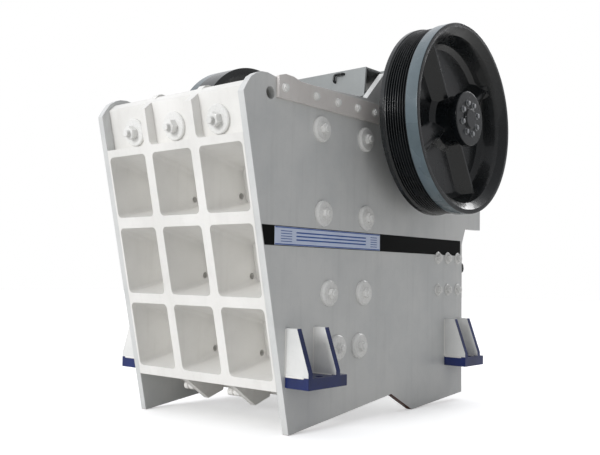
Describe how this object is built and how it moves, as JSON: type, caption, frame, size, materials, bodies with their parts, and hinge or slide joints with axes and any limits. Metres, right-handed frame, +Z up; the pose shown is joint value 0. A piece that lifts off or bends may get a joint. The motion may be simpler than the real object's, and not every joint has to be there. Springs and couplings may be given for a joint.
{
  "type": "jaw crusher",
  "caption": "Single-toggle jaw crusher: ribbed front wall, side plates with bolted cheek liners, toothed jaws, and an eccentric shaft that turns with its flywheels.",
  "frame": {"origin": "centre of the bounding box at floor level", "axes": "+X towards the grooved drive flywheel, +Y from the ribbed front wall to the rear, +Z up"},
  "size_m": [2.26, 2.787, 2.621],
  "materials": {
    "white_enamel": "gloss",
    "navy_enamel": "gloss",
    "black_enamel": "gloss",
    "manganese_steel": "as cast",
    "white_bolts": "satin",
    "turned_steel": "machined",
    "spring_steel": "satin"
  },
  "bodies": {
    "frame": {"fixed_jaw_die": "manganese_steel", "front_wall": "white_enamel", "jaw_bolts": "white_bolts", "left_beam_bolts": "white_bolts", "left_bearing_housing": "white_enamel", "left_front_foot": "navy_enamel", "left_guard_bolts": "white_bolts", "left_liner_bolts": "white_bolts", "left_lower_cheek_liner": "manganese_steel", "left_rear_foot": "navy_enamel", "left_side_plate": "white_enamel", "left_top_guard": "white_enamel", "left_upper_cheek_liner": "manganese_steel", "pitman": "white_enamel", "pitman_hood": "white_enamel", "rear_crossbeam": "white_enamel", "right_beam_bolts": "white_bolts", "right_bearing_housing": "white_enamel", "right_front_foot": "navy_enamel", "right_guard_bolts": "white_bolts", "right_liner_bolts": "white_bolts", "right_lower_cheek_liner": "manganese_steel", "right_rear_foot": "navy_enamel", "right_side_plate": "white_enamel", "right_top_guard": "white_enamel", "right_upper_cheek_liner": "manganese_steel", "swing_jaw_die": "manganese_steel", "tension_nut": "turned_steel", "tension_rod": "turned_steel", "tension_spring": "spring_steel", "toggle_plate": "turned_steel"},
    "rotor": {"eccentric_shaft": "turned_steel", "grooved_flywheel": "black_enamel", "left_hub_cap": "black_enamel", "plain_flywheel": "black_enamel", "right_hub_cap": "black_enamel"}
  },
  "joints": [
    {"name": "flywheel_spin", "type": "hinge", "parent": "frame", "child": "rotor", "pos_m": [0, 0.3175, 1.984], "axis": [1, 0, 0], "continuous": true}
  ]
}
